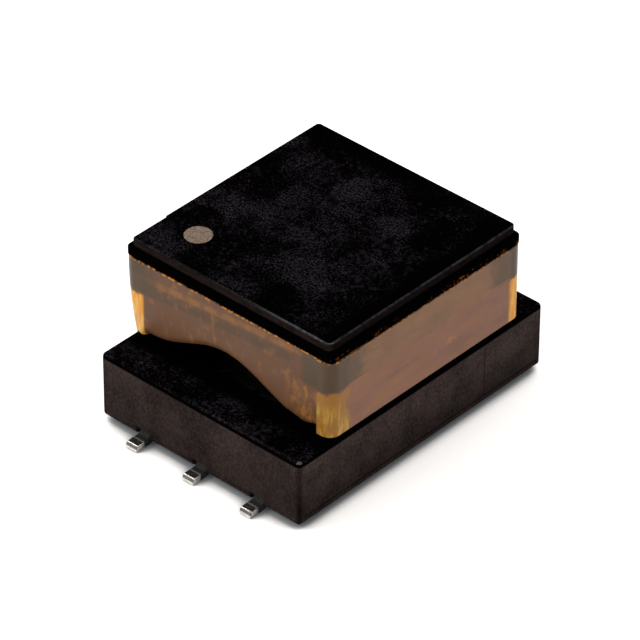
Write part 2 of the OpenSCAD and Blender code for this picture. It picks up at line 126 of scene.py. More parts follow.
class EasingSizes(bpy.types.PropertyGroup):
    """How far the edges of the mouldings are rounded."""
    base_corner: length("Base corners", "Radius at the base's upright corners", 0.18)
    base_edge: length("Base edges", "Radius on the other edges of the base", 0.17)
    plate_corner: length("Plate corners", "Radius at the plate's upright corners", 0.22)
    plate_edge: length("Plate edges", "Radius on the plate's top edges", 0.045)
    rim_corner: length("Rim corners", "Radius at the rim's upright corners", 0.2)
    rim_edge: length("Rim edges", "Radius on the rim's other edges", 0.08)
    plate_height: length("Plate height", "Height of the plate over the ledge", 0.34)
    ledge_side: length("Side ledge", "Width of the ledge along the sides", 0.15)
    ledge_end: length("End ledge", "Width of the ledge along the ends", 0.1)


class Finishes(bpy.types.PropertyGroup):
    """Colours of the finishes."""
    moulding: colour("Moulding", "Black moulding compound", (0.0010, 0.0007, 0.0009))
    # Pale specks of the top faces: painted glints of the rough moulding
    grain: colour("Grain", "Pale filler grains in the top faces", (0.058, 0.05, 0.06))
    # Side faces: brown tone, partly painted reflection of the white floor
    side_brown_and_sheen: colour("Drawn face", "Brown cast of the drawn side faces", (0.068, 0.0455, 0.0405))
    # Painted highlight on the edges of the mouldings
    painted_highlight: colour("Worn edge", "Polished edges of the mouldings", (0.09, 0.085, 0.09))
    crumb: colour("Crumbs", "Flecks of tape on the cap's rim", (0.12, 0.032, 0.006))
    mark: colour("Mark", "Laser mark", (0.25, 0.18, 0.13))
    tin: colour("Tin", "Tin plate on the leads", (0.78, 0.76, 0.71))
    tin_shade: colour("Tin, shaded", "Leads where they reflect the dark base", (0.01, 0.01, 0.01))
    solder: colour("Solder", "Solder joints", (0.6, 0.6, 0.58))
    ferrite: colour("Ferrite", "Sintered ferrite", (0.006, 0.006, 0.0065))
    former: colour("Former", "Coil former", (0.004, 0.004, 0.004))
    copper: colour("Copper", "Enamelled wire", (0.12, 0.03, 0.01))
    coil_tape: colour("Coil tape", "Dark film round the windings", (0.006, 0.004, 0.003))
    adhesive: colour("Adhesive", "Cured adhesive", (0.6, 0.58, 0.52))
    film: colour("Film, ends", "Tape over the folded ends", (0.15, 0.069, 0.034))
    film_side: colour("Film, sides", "Tape laid flat on the core's legs", (0.262, 0.117, 0.068))
    film_grey: colour("Film, grey", "Tape pressed flat on the cap", (0.082, 0.052, 0.031))
    film_olive: colour("Film, olive", "Upper part of the long sides", (0.23, 0.125, 0.052))
    film_rust: colour("Film, rust", "Thick adhesive in the tape", (0.4, 0.165, 0.035))
    film_glow: colour("Film, lit through", "Tape past the core's corners", (0.8, 0.3, 0.02))
    # Pale, doubled and straw film: more painted light through the film past the corners
    film_pale: colour("Film, pale", "Thinnest tape past the corners", (0.9, 0.5, 0.1))
    film_ochre: colour("Film, doubled", "Two layers past the corner", (0.34, 0.15, 0.026))
    film_straw: colour("Film, straw", "Thin streaks in the doubled film", (0.52, 0.3, 0.05))


class StageSizes(bpy.types.PropertyGroup):
    """Camera, floor and lamps."""
    lens: length("Focal length", "Focal length of the camera", 281.25)
    azimuth: angle("Azimuth", "Turn of the camera round the part", 42.21)
    elevation: angle("Elevation", "Height of the camera over the part", 36.35)
    roll: angle("Roll", "Roll of the camera", 0.32)
    distance: length("Distance", "Distance from the camera to its target", 163.08)
    target_x: length("Target X", "Point the camera looks at", 0.34)
    target_y: length("Target Y", "Point the camera looks at", -0.54)
    target_z: length("Target Z", "Point the camera looks at", 3.5)
    floor: length("Floor", "Half the width of the floor", 400)
    floor_open: colour("Floor, open", "Floor away from the part", (0.95, 0.92, 0.89))
    floor_shade: colour("Floor, shaded", "Floor against the part", (0.42, 0.435, 0.45))
    floor_lift: colour("Floor, lift", "Tint that lifts the open floor to white", (1, 0.98, 0.96))
    close_shade: length("Close shade", "Reach of the dark shade round the feet", 0.9)
    wide_shade: length("Wide shade", "Reach of the soft shade round the part", 6)
    sky: amount("Sky", "Strength of the even light all round", 0.62)
    key: amount("Key lamp", "Power of the soft lamp at the front left, in watts", 0.2)
    fill: amount("Fill lamp", "Power of the soft lamp overhead, in watts", 0.1)


# ---- shader graphs ----

class Graph:
    """Adds nodes to one tree and links them."""

    def __init__(self, tree):
        self.tree = tree

    def add(self, kind, inputs=None, **settings):
        """One node. Each input is given a value, or the socket that feeds it."""
        node = self.tree.nodes.new(kind)
        for name, value in settings.items():
            setattr(node, name, value)
        for name, value in (inputs or {}).items():
            self.feed(node.inputs[name], value)
        return node

    def feed(self, socket, value):
        """Sets a socket, or links another socket to it."""
        if isinstance(value, bpy.types.NodeSocket):
            self.tree.links.new(value, socket)
        elif socket.type == "RGBA":
            socket.default_value = (*value, 1)
        else:
            socket.default_value = value

    def math(self, operation, a, b=0.5, clamp=False):
        """The result of a Math node."""
        return self.add("ShaderNodeMath", {0: a, 1: b}, operation=operation,
                        use_clamp=clamp).outputs[0]

    def product(self, *factors):
        """Several values multiplied together."""
        result = factors[0]
        for factor in factors[1:]:
            result = self.math("MULTIPLY", result, factor)
        return result

    def step(self, value, low, high, start=0.0, end=1.0):
        """Rises smoothly from start to end while value goes from low to high."""
        return self.add("ShaderNodeMapRange",
                        {"Value": value, "From Min": low, "From Max": high,
                         "To Min": start, "To Max": end},
                        interpolation_type="SMOOTHSTEP").outputs["Result"]

    def band(self, value, low, high, soft):
        """1 between low and high, with soft edges."""
        return self.product(self.step(value, low - soft, low),
                            self.step(value, high, high + soft, 1.0, 0.0))

    def mix(self, factor, a, b, blend="MIX"):
        """Two colours mixed."""
        node = self.add("ShaderNodeMix", data_type="RGBA", blend_type=blend)
        self.feed(node.inputs[0], factor)
        self.feed(node.inputs[6], a)
        self.feed(node.inputs[7], b)
        return node.outputs[2]

    def stretch(self, vector, scale):
        """A vector scaled along each axis."""
        return self.add("ShaderNodeVectorMath", {0: vector, 1: scale},
                        operation="MULTIPLY").outputs[0]

    def split(self, vector):
        """The three parts of a vector."""
        return self.add("ShaderNodeSeparateXYZ", {0: vector}).outputs

    def noise(self, vector, scale, detail=3.0, roughness=0.5):
        """Noise from 0 to 1."""
        return self.add("ShaderNodeTexNoise",
                        {"Vector": vector, "Scale": scale, "Detail": detail,
                         "Roughness": roughness}).outputs["Fac"]

    def group(self, tree, inputs=None):
        """A node group placed in this tree."""
        node = self.add("ShaderNodeGroup", node_tree=tree)
        for name, value in (inputs or {}).items():
            self.feed(node.inputs[name], value)
        return node


def new_group(name, inputs, outputs):
    """An empty shader node group, its graph, and its input and output nodes."""
    tree = bpy.data.node_groups.new(name, "ShaderNodeTree")
    for title, kind, value in inputs:
        socket = tree.interface.new_socket(title, in_out="INPUT", socket_type=kind)
        if value is not None:
            socket.default_value = value
    for title, kind in outputs:
        tree.interface.new_socket(title, in_out="OUTPUT", socket_type=kind)
    graph = Graph(tree)
    return tree, graph, graph.add("NodeGroupInput").outputs, graph.add("NodeGroupOutput").inputs


def millimetre_group():
    """Object coordinates in millimetres, and how far the surface faces up."""
    tree, g, _, out = new_group("millimetres", [], [("Position", "NodeSocketVector"),
                                                    ("Up", "NodeSocketFloat")])
    place = g.add("ShaderNodeTexCoord").outputs["Object"]
    g.feed(out["Position"], g.stretch(place, (1 / MM, 1 / MM, 1 / MM)))
    flat = g.add("ShaderNodeNewGeometry").outputs["True Normal"]
    g.feed(out["Up"], g.split(flat)["Z"])
    return tree


SPECK_LEVEL = 0.66      # noise at which a speck starts where none are gathered
SPECK_EDGE = 4.0        # how sharply a speck stands out from the black
SHEEN = 0.16            # coat on a drawn side, and on a bare grain


def speck_group():
    """Scattered pale specks, painted as glints of a rough surface: fine, and gathered in loose
    patches.
    """
    tree, g, inp, out = new_group(
        "specks",
        [("Position", "NodeSocketVector", None), ("Size", "NodeSocketFloat", 12.0),
         ("Cover", "NodeSocketFloat", 0.5), ("Patch", "NodeSocketFloat", 1.2)],
        [("Mask", "NodeSocketFloat"), ("Height", "NodeSocketFloat")])
    grains = g.noise(inp["Position"], inp["Size"], 3.0, 0.7)
    patches = g.step(g.noise(inp["Position"], inp["Patch"], 3.0, 0.6), 0.3, 0.7)
    level = g.math("SUBTRACT", SPECK_LEVEL, g.math("MULTIPLY", inp["Cover"], patches))
    mask = g.math("MULTIPLY", g.math("SUBTRACT", grains, level), SPECK_EDGE, clamp=True)
    g.feed(out["Mask"], mask)
    g.feed(out["Height"], grains)
    return tree


GROUPS = {}


def shared(name):
    """A shared node group, built the first time it is asked for."""
    makers = {"millimetres": millimetre_group, "specks": speck_group}
    if name not in GROUPS:
        GROUPS[name] = makers[name]()
    return GROUPS[name]


def new_material(name):
    """A material with a bare Principled BSDF: the material, its graph and the shader."""
    material = bpy.data.materials.new(name)
    material.use_nodes = True
    material.node_tree.nodes.clear()
    g = Graph(material.node_tree)
    shader = g.add("ShaderNodeBsdfPrincipled")
    output = g.add("ShaderNodeOutputMaterial")
    g.feed(output.inputs["Surface"], shader.outputs[0])
    return material, g, shader.inputs


def bump(g, shader, height, strength, distance_mm):
    """Feeds a height through a Bump node to the shader's normal."""
    node = g.add("ShaderNodeBump", {"Height": height, "Strength": strength,
                                    "Distance": distance_mm * MM})
    g.feed(shader["Normal"], node.outputs[0])


# ---- materials ----

def speckled_black_and_glints(g, place, finish, cover):
    """The mottled black of a moulded top face with painted glints: colour, speck mask and grain
    height.
    """
    coarse = g.group(shared("specks"), {"Position": place, "Size": 5.0, "Cover": cover,
                                        "Patch": 0.35}).outputs
    fine = g.group(shared("specks"), {"Position": place, "Size": 14.0, "Cover": cover,
                                      "Patch": 0.5}).outputs
    share = 0.75                    # of the fine grains
    mask = g.math("ADD", g.product(coarse["Mask"], 1 - share), g.product(fine["Mask"], share))
    return g.mix(mask, finish.moulding, finish.grain), mask, fine["Height"]


def moulding_sheen(g, shader, side_mask, grain_mask):
    """A low sheen: a thin coat on drawn sides and on bare grains, and none elsewhere."""
    shader["Specular IOR Level"].default_value = 0.0
    shader["Coat Roughness"].default_value = 0.4
    coat = g.math("ADD", g.product(side_mask, SHEEN), g.product(grain_mask, SHEEN))
    g.feed(shader["Coat Weight"], coat)


def cap_material(finish, top_z):
    """Black cap: grained top, brown-grey plate edge partly painted as a reflection, deep black
    ledge and rim.
    """
    material, g, shader = new_material("cap_moulding")
    frame_mm = g.group(shared("millimetres")).outputs
    place = frame_mm["Position"]
    x, y, z = g.split(place)
    plate_foot = (top_z - 0.32, top_z - 0.27)
    plate_brow = (top_z - 0.12, top_z - 0.05)
    tape_line = (top_z - 0.66, top_z - 0.52)
    top, grain, height = speckled_black_and_glints(g, place, finish, 0.21)
    plate = g.step(z, *plate_foot)
    up = g.step(frame_mm["Up"], 0.35, 0.9)

    # The plate's sides: brown and streaked, painted lighter than the top as a reflection, and
    # paler on the two ends
    streak = g.noise(g.stretch(place, (3, 3, 9)), 1.0, 4.0, 0.6)
    facing = g.step(g.math("ABSOLUTE", y), 4.3, 4.45, 0.14, 0.24)
    side_tone = g.product(plate, facing, g.step(streak, 0.25, 0.7, 0.4, 1.0))
    side = g.mix(side_tone, finish.moulding, finish.side_brown_and_sheen)

    # The grained top fades out towards the sides at high X and high Y
    border = g.product(g.step(x, 3.95, 3.5), g.step(y, 4.0, 3.4, 0.35, 1.0))
    on_top = g.product(up, plate, border)
    body = g.mix(up, side, g.mix(g.product(plate, border), finish.moulding, top))

    # Painted highlight on the plate's top edge: bright over the near end, faint along the side at
    # high X
    edge = g.product(g.band(frame_mm["Up"], 0.5, 0.85, 0.1),
                     g.step(g.noise(place, 5.0, 3.0), 0.35, 0.62, 0.3, 1.0))
    front = g.product(g.step(y, -4.2, -4.42), g.step(x, 0.0, 4.0, 0.07, 1.3))
    flank = g.step(x, 4.1, 4.3, 0.08, 0.4)
    edge = g.product(edge, g.step(z, *plate_brow), g.math("ADD", g.product(front, 0.7), flank))

    # Crumbs of tape along the rim's lower edge at high X
    crumbs = g.product(g.step(g.noise(place, 7.5, 3.0), 0.56, 0.62), g.step(x, 4.4, 4.5),
                       g.step(g.noise(place, 0.7, 2.0), 0.4, 0.6),
                       g.band(z, *tape_line, 0.05))
    body = g.mix(crumbs, body, finish.crumb)
    g.feed(shader["Base Color"], g.mix(edge, body, finish.painted_highlight))
    g.feed(shader["Roughness"], g.step(g.noise(place, 3.0, 4.0), 0.3, 0.7, 0.3, 0.46))
    moulding_sheen(g, shader, g.product(side_tone, 0.6, g.math("SUBTRACT", 1.0, up)),
                   g.product(grain, on_top))
    bump(g, shader, height, 0.3, 0.02)
    return material


def base_material(finish, low, high):
    """Black base: grained top ends, brown-grey sides partly painted as a reflection, painted shade
    under the cap, and painted dark bands under the top edge and on the corners.
    """
    material, g, shader = new_material("base_moulding")
    frame_mm = g.group(shared("millimetres")).outputs
    place = frame_mm["Position"]
    x, y, z = g.split(place)
    end_y = g.math("ABSOLUTE", y)
    side_x = g.math("ABSOLUTE", x)
    top, grain, height = speckled_black_and_glints(g, place, finish, 0.24)
    # Painted shade: top faces under the cap stay black, grained only past it
    clear_of_cap_shade = g.step(end_y, 4.65, 5.2)
    long_face = g.step(side_x, 4.2, 4.35)

    # The sides: streaked and clouded, painted lighter than the top as a reflection, darker low
    # down, most so on the ends
    streak = g.noise(g.stretch(place, (13, 13, 9)), 1.0, 4.0, 0.7)
    cloud = g.noise(place, 0.9, 3.0)
    tone = g.math("ADD", g.step(streak, 0.3, 0.7, 0.1, 0.6), g.step(cloud, 0.3, 0.7, 0.1, 0.4))
    least = g.math("SUBTRACT", 0.8, g.product(long_face, 0.3))
    low_side = g.step(z, low + 0.3, high - 0.6, least, 1.0)
    tone = g.product(tone, low_side, g.step(long_face, 0.0, 1.0, 0.75, 1.0))

    # Black: painted shade in a band under the top edge and on the upright corners, the foot, and
    # the parting line over it
    painted_edge_shade = g.step(z, high - 0.22, high - 0.16)
    corner = g.product(g.step(end_y, 5.72, 5.9), g.step(side_x, 4.18, 4.36))
    foot = g.step(z, low + 0.06, low)
    parting = g.product(g.band(z, low + 0.29, low + 0.32, 0.03), g.step(side_x, 4.2, 4.3),
                        g.step(end_y, 5.75, 5.65))
    foot = g.math("MAXIMUM", foot, parting)
    dark = g.math("MAXIMUM", painted_edge_shade, g.math("MAXIMUM", g.product(corner, 0.6), g.product(foot, 0.85)))
    lit = g.product(tone, g.math("SUBTRACT", 1.0, dark))
    side = g.mix(lit, finish.moulding, finish.side_brown_and_sheen)
    up = g.step(frame_mm["Up"], 0.35, 0.9)
    body = g.mix(up, side, g.mix(clear_of_cap_shade, finish.moulding, top))

    # Painted highlight on the top edge over the ends: a fine sparkle, and one bright tip at the
    # corner
    edge = g.band(frame_mm["Up"], 0.6, 0.88, 0.08)
    sparkle = g.step(g.noise(place, 11.0, 2.0), 0.45, 0.6, 0.1, 0.8)
    tip = g.product(g.step(x, 4.2, 4.3), g.step(y, -5.74, -5.84), 2.5)
    edge = g.product(edge, g.step(z, high - 0.14, high - 0.06), g.step(end_y, 5.6, 5.8),
                     g.math("MAXIMUM", g.product(sparkle, g.step(x, -2.0, 3.0, 0.04, 0.16)), tip))
    g.feed(shader["Base Color"], g.mix(edge, body, finish.painted_highlight))
    g.feed(shader["Roughness"], g.step(cloud, 0.3, 0.7, 0.36, 0.5))
    moulding_sheen(g, shader, g.product(g.math("SUBTRACT", 1.0, up), lit),
                   g.product(grain, up, clear_of_cap_shade))
    bump(g, shader, g.math("ADD", height, g.product(streak, 0.6)), 0.35, 0.02)
    return material


def plain_material(name, base, rough, spread, scale, metallic=0.0, dark=0.7):
    """A lightly mottled finish, for the parts inside."""
    material, g, shader = new_material(name)
    place = g.group(shared("millimetres")).outputs["Position"]
    mottle = g.noise(place, scale, 4.0, 0.6)
    deep = tuple(dark * part for part in base)
    g.feed(shader["Base Color"], g.mix(g.step(mottle, 0.3, 0.7), deep, tuple(base)))
    g.feed(shader["Roughness"], g.step(mottle, 0.3, 0.7, rough - spread, rough + spread))
    shader["Metallic"].default_value = metallic
    bump(g, shader, mottle, 0.2, 0.01)
    return material


def tin_material(finish):
    """Bright tin plate with draw lines and soft dents, with painted dark reflection at the base
    and the tip.
    """
    material, g, shader = new_material("tin_plate")
    place = g.group(shared("millimetres")).outputs["Position"]
    x, y, z = g.split(place)
    end_y = g.math("ABSOLUTE", y)
    lines = g.noise(g.stretch(place, (40, 2, 40)), 1.0, 3.0)
    dents = g.noise(place, 5.0, 2.0)
    cloud = g.noise(place, 4.0, 4.0)
    dull = tuple(0.7 * part for part in finish.tin)
    plate = g.mix(g.step(cloud, 0.4, 0.7), tuple(finish.tin), dull)
    # Painted dark reflection where the lead meets the base and on the upper tip
    root = g.product(g.step(end_y, 6.2, 6.08), 0.97)
    tip = g.product(g.step(end_y, 6.42, 6.46), g.step(z, 0.1, 0.16), 0.8)
    shade = g.math("MAXIMUM", root, tip)
    g.feed(shader["Base Color"], g.mix(shade, plate, finish.tin_shade))
    g.feed(shader["Roughness"], g.step(cloud, 0.3, 0.7, 0.16, 0.34))
    g.feed(shader["Metallic"], g.math("SUBTRACT", 1.0, shade))
    shader["Specular IOR Level"].default_value = 0.05
    bump(g, shader, g.math("ADD", g.product(lines, 0.2), dents), 0.7, 0.06)
    return material


def mark_material(finish):
    """Laser mark: a pale frosted disc with a fine speckle."""
    material, g, shader = new_material("laser_mark")
    place = g.group(shared("millimetres")).outputs["Position"]
    grain = g.noise(place, 16.0, 3.0, 0.7)
    dark = tuple(0.55 * part for part in finish.mark)
    light = tuple(1.35 * part for part in finish.mark)
    g.feed(shader["Base Color"], g.mix(g.step(grain, 0.35, 0.65), dark, light))
    shader["Roughness"].default_value = 0.7
    shader["Specular IOR Level"].default_value = 0.2
    bump(g, shader, grain, 0.4, 0.01)
    return material


def film_material(finish, top_z):
    """Amber film: grey on the cap, brown on the core, with light through it painted past the
    corners.
    """
    material, g, shader = new_material("amber_film")
    place = g.group(shared("millimetres")).outputs["Position"]
    x, y, z = g.split(place)
    depth = g.math("SUBTRACT", top_z, z)
    side_x = g.math("ABSOLUTE", x)
    end_y = g.math("ABSOLUTE", y)
    on_side = g.product(g.step(side_x, 4.46, 4.52), g.step(end_y, 4.35, 4.1))
    on_end = g.step(end_y, 4.2, 4.5)
    mottle = g.noise(g.stretch(place, (1, 1, 0.7)), 1.3, 4.0, 0.55)
    blotch = g.noise(g.stretch(place, (1.5, 1.5, 1.0)), 1.6, 4.0, 0.62)
    wisp = g.noise(g.stretch(place, (7, 7, 1.4)), 1.0, 3.0, 0.6)
    runs = g.noise(g.stretch(place, (3, 3, 1.6)), 1.0, 4.0, 0.65)
    drawn_out = g.noise(g.stretch(place, (1, 0.45, 2.2)), 1.2, 5.0, 0.6)

    # The film where it lies on black: ends, sides, and the greyer part on the cap
    body = g.mix(on_side, finish.film, finish.film_side)
    on_cap = g.step(depth, 1.4, 1.1)
    body = g.mix(g.product(g.step(mottle, 0.4, 0.75), on_cap, 0.35), body, finish.film_grey)
    skew = g.math("ADD", depth, g.product(x, 0.07))
    seam = g.product(g.band(skew, 0.62, 0.86, 0.14), on_end,
                     g.step(x, 3.2, 2.4), g.step(x, -3.6, -2.6))
    body = g.mix(g.product(seam, 0.62), body, finish.film_grey)

    # The long sides: rust where the skirt stops, olive over it, grey and rust streaks
    skirt_end = g.product(on_side, g.band(depth, 1.17, 1.24, 0.06),
                          g.step(end_y, 0.5, 3.0, 0.1, 0.7))
    body = g.mix(g.product(skirt_end, 0.4), body, finish.film_rust)
    body = g.mix(g.product(on_side, g.step(depth, 1.25, 1.1), 0.5), body, finish.film_olive)
    frayed_y = g.math("ADD", y, g.step(blotch, 0.3, 0.7, -0.16, 0.16))
    side_ends = g.product(on_side, g.step(g.math("ABSOLUTE", frayed_y), 2.8, 3.5),
                          g.step(depth, 1.2, 1.1))
    body = g.mix(g.product(side_ends, 0.7), body, finish.film_grey)
    body = g.mix(g.product(on_side, g.step(drawn_out, 0.5, 0.72), 0.3), body, finish.film_rust)
    body = g.mix(g.product(on_side, g.step(drawn_out, 0.5, 0.3), 0.3), body, finish.film_grey)
    chip = g.product(on_side, g.band(g.math("ADD", y, z), 4.85, 5.25, 0.06),
                     g.band(z, 3.84, 4.02, 0.05))
    body = g.mix(g.product(chip, g.step(g.noise(place, 4.0), 0.35, 0.5), 0.7), body,
                 finish.film_rust)

    # Thick adhesive: a warm line over the seam, loose blotches and upright wisps
    line = g.product(g.band(skew, 0.3, 0.42, 0.12), on_end, g.step(blotch, 0.32, 0.6))
    patches = g.product(g.step(blotch, 0.52, 0.7), on_end, 0.6)
    wisps = g.product(g.step(runs, 0.45, 0.6), g.band(x, 3.1, 3.8, 0.7),
                      g.step(depth, 1.1, 1.5), on_end)
    rust = g.math("MAXIMUM", g.product(line, 0.75), g.math("MAXIMUM", patches, wisps))
    body = g.mix(g.product(rust, 0.62), body, finish.film_rust)

    # Corners: grey on the cap, and below it, where no core backs the film, painted light through
    # the film
    round_end = g.step(end_y, 4.3, 4.4)
    right = g.step(x, 3.9, 3.97)
    near_side = g.product(right, g.step(frayed_y, -3.72, -3.9))
    far_side = g.product(right, g.step(y, 3.92, 4.14))
    pressed = g.math("MAXIMUM", g.product(round_end, g.step(x, -2.6, -3.7)),
                     g.product(round_end, g.step(x, 3.1, 3.4)))
    pressed = g.math("MAXIMUM", pressed, g.math("MAXIMUM", near_side, far_side))
    body = g.mix(g.product(pressed, g.step(depth, 1.34, 1.14), 0.85), body, finish.film_grey)
    open_x = g.math("MAXIMUM", g.step(x, -3.62, -3.74), g.step(x, 4.0, 4.04))
    corner = g.math("MAXIMUM", g.product(open_x, g.step(end_y, 4.1, 4.2)),
                    g.math("MAXIMUM", near_side, far_side))
    ragged = g.math("ADD", depth, g.step(blotch, 0.3, 0.7, -0.12, 0.12))
    hanging = g.product(corner, g.step(ragged, 1.18, 1.34))
    fire = g.mix(g.step(wisp, 0.42, 0.62), finish.film_glow, finish.film_pale)
    doubled = g.product(g.step(x, 3.0, 3.5), g.step(y, -3.0, -3.5))
    ochre = g.mix(g.product(g.step(wisp, 0.4, 0.65), g.step(depth, 1.5, 2.2)),
                  finish.film_ochre, finish.film_straw)
    body = g.mix(hanging, body, g.mix(doubled, fire, ochre))

    # The ragged top edge catches light
    frayed = g.product(g.step(depth, 0.08, 0.04), g.step(g.noise(place, 8.0, 1.0), 0.5, 0.58),
                       g.step(on_side, 0.0, 1.0, 0.75, 0.25))
    g.feed(shader["Base Color"], g.mix(frayed, body, finish.film_glow))
    g.feed(shader["Roughness"], g.step(mottle, 0.3, 0.7, 0.26, 0.4))
    shader["Specular IOR Level"].default_value = 0.17
    bump(g, shader, mottle, 0.1, 0.04)
    return material


# ---- the tape wrap ----

def hill(t):
    """A smooth hill from 1 at t = 0 to 0 at t = 1 and beyond."""
    return 0.0 if abs(t) >= 1 else (1 + math.cos(math.pi * t)) / 2


class Strip:
    """The run of the tape: where each point of the flat strip goes on the part."""

    def __init__(self, sizes):
        low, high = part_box("tape_wrap")
        self.sizes = sizes
        self.top = high[2]
        self.width = high[2] - low[2]
        self.step_out = sizes.thickness + sizes.layer_gap
        self.face_x = high[0] - self.step_out - sizes.thickness
        self.face_y = high[1] - self.step_out - sizes.thickness
        self.flat_x = self.face_x - sizes.turn_radius
        self.flat_y = self.face_y - sizes.turn_radius
        self.arc = math.pi / 2 * sizes.turn_radius
        self.lead_in = self.flat_x - (self.face_x - sizes.outer_end)
        self.legs = [self.lead_in, self.arc, 2 * self.flat_y, self.arc, 2 * self.flat_x, self.arc,
                     2 * self.flat_y, self.arc, 2 * self.flat_x, self.arc, sizes.overlap]
        self.total = sum(self.legs)
        self.full = sum(self.legs[:7])
        self.home = sum(self.legs[:9]) - sizes.settled
        self.near_corner = self.full + self.arc / 2

    def rise_low(self, x):
        """How high the fold lifts the visible edge of the arched face at x."""
        s = self.sizes
        if x < s.arch_x:
            foot = s.foot_near * hill(min(0.0, (x + self.flat_x - s.near_start) / s.near_run - 1))
            return foot + (s.arch_rise - s.foot_near) * hill((s.arch_x - x) / s.arch_near)
        tuck = hill((x - (self.face_x - s.outer_end)) / s.tuck_run)
        return (s.foot_far + (s.tuck_rise - s.foot_far) * tuck
                + (s.arch_rise - s.foot_far) * hill((x - s.arch_x) / s.arch_far))

    def station(self, run):
        """Place, outward direction and rise of the fold at a distance along the strip."""
        s = self.sizes
        leg = 0
        while leg < 10 and run > self.legs[leg]:
            run -= self.legs[leg]
            leg += 1
        fx, fy, cx, cy = self.face_x, self.face_y, self.flat_x, self.flat_y
        if leg == 0:
            return Vector((cx - self.lead_in + run, -fy)), Vector((0, -1)), 0.0
        if leg in (2, 10):
            return Vector((fx, -cy + run)), Vector((1, 0)), 0.0
        if leg == 4:
            x = cx - run
            return Vector((x, fy)), Vector((0, 1)), s.back_rise * hill(x / cx)
        if leg == 6:
            return Vector((-fx, cy - run)), Vector((-1, 0)), 0.0
        if leg == 8:
            x = run - cx
            return Vector((x, -fy)), Vector((0, -1)), self.rise_low(x)
        turns = {1: (cx, -cy, -90), 3: (cx, cy, 0), 5: (-cx, cy, 90),
                 7: (-cx, -cy, 180), 9: (cx, -cy, -90)}
        mx, my, start = turns[leg]
        t = run / self.legs[leg]
        a = math.radians(start + 90 * t)
        out = Vector((math.cos(a), math.sin(a)))
        rise = self.rise_low(cx) * (1 - t) if leg == 9 else 0.0
        return Vector((mx, my)) + out * s.turn_radius, out, rise

    def place(self, run, share):
        """A point of the strip's outer face, at a share of its width from the top edge."""
        s = self.sizes
        at, out, rise = self.station(run)
        layer = 1.0
        if run > self.full:
            layer = max(0.0, 1 - (run - self.full) / (self.home - self.full))
        near = run - self.near_corner
        hang = s.droop * hill(near / (s.droop_end if near > 0 else s.droop_side))
        width = self.width + hang
        depth = share * width
        folded = max(s.fold_least, rise + s.fold_over)
        turn = max(1e-4, s.fold_turn * min(1.0, rise / (s.fold_least - s.fold_over)))
        bend = s.fold_radius * s.fold_turn
        along = max(0.0, depth - (width - folded))
        past = max(0.0, along - bend)
        a = turn * min(1.0, along / bend)
        radius = bend / turn
        inwards = radius * (1 - math.cos(a)) + past * math.sin(a)
        down = min(depth, width - folded) + radius * math.sin(a) + past * math.cos(a)
        lean = s.corner_lean * hill(near / (s.lean_end if near > 0 else s.lean_side))
        low_part = max(0.0, depth - s.lean_from)
        inwards += low_part ** 2 / (width - s.lean_from) * math.sin(lean)
        reach = self.step_out * layer - inwards + s.thickness * math.cos(a)
        at = at + out * reach
        return Vector((at.x, at.y, self.top - down - s.thickness * math.sin(a)))


ROWS = 48               # mesh cells across the strip
TEETH_SHARE = 12        # the teeth fade out over one part in this many of the width


def deselect():
    """Nothing selected."""
    bpy.ops.object.select_all(action="DESELECT")


def teeth(run, sizes):
    """Depth of the ragged top edge at a distance along the strip."""
    coarse = noise.noise(Vector((run / sizes.coarse_tooth, 2.0, 0.0)))
    fine = noise.noise(Vector((run / sizes.fine_tooth, 9.0, 0.0)))
    return sizes.fringe * min(1.0, max(0.0, 0.45 + 0.5 * coarse + 0.8 * fine))


def make_tape(sizes):
    """The strip as a fine grid, wound round the cap and given its thickness."""
    strip = Strip(sizes)
    deselect()
    along = round(strip.total / sizes.station)
    bpy.ops.mesh.primitive_grid_add(x_subdivisions=along, y_subdivisions=ROWS, size=1,
                                    calc_uvs=False)
    tape = bpy.context.object
    tape.name = "tape_film"
    for vertex in tape.data.vertices:
        run = (vertex.co.x + 0.5) * strip.total
        share = 0.5 - vertex.co.y
        cut = teeth(run, sizes) / strip.width * max(0.0, 1 - TEETH_SHARE * share)
        vertex.co = strip.place(run, share + cut)
    bpy.ops.object.shade_smooth()
    film = tape.modifiers.new("film", "SOLIDIFY")
    film.thickness = sizes.thickness
    film.offset = -1
    film.use_even_offset = True
    bpy.ops.object.modifier_apply(modifier="film")
    bpy.ops.object.shade_smooth_by_angle(angle=math.radians(40))
    return tape


# ---- eased mouldings ----

CORNER_FACES = 8        # across a rounded upright corner
EDGE_FACES = 5          # across a rounded edge
STAND_OUT = 0.001 * MM  # how far a block stands out past the solid it trims


def block(low, high, corner, edge):
    """A block between two points, with its upright corners and then its edges rounded."""
    deselect()
    bpy.ops.mesh.primitive_cube_add(size=1)
    solid = bpy.context.object
    for vertex in solid.data.vertices:
        vertex.co = [high[i] if vertex.co[i] > 0 else low[i] for i in range(3)]
    upright = solid.data.attributes.new("bevel_weight_edge", "FLOAT", "EDGE")
    for line in solid.data.edges:
        foot, head = (solid.data.vertices[i].co.z for i in line.vertices)
        upright.data[line.index].value = 1.0 if foot != head else 0.0
    turn = solid.modifiers.new("turn", "BEVEL")
    turn.limit_method = "WEIGHT"
    turn.width = corner
    turn.segments = CORNER_FACES
    bpy.ops.object.modifier_apply(modifier="turn")
    ease = solid.modifiers.new("ease", "BEVEL")
    ease.limit_method = "ANGLE"
    ease.angle_limit = math.radians(60)
    ease.width = edge
    ease.segments = EDGE_FACES
    bpy.ops.object.modifier_apply(modifier="ease")
    return solid


def cut(solid, other, operation):
    """Applies a boolean between a solid and another object."""
    deselect()
    solid.select_set(True)
    bpy.context.view_layer.objects.active = solid
    join = solid.modifiers.new("join", "BOOLEAN")
    join.operation = operation
    join.solver = "EXACT"
    join.object = other
    bpy.ops.object.modifier_apply(modifier="join")


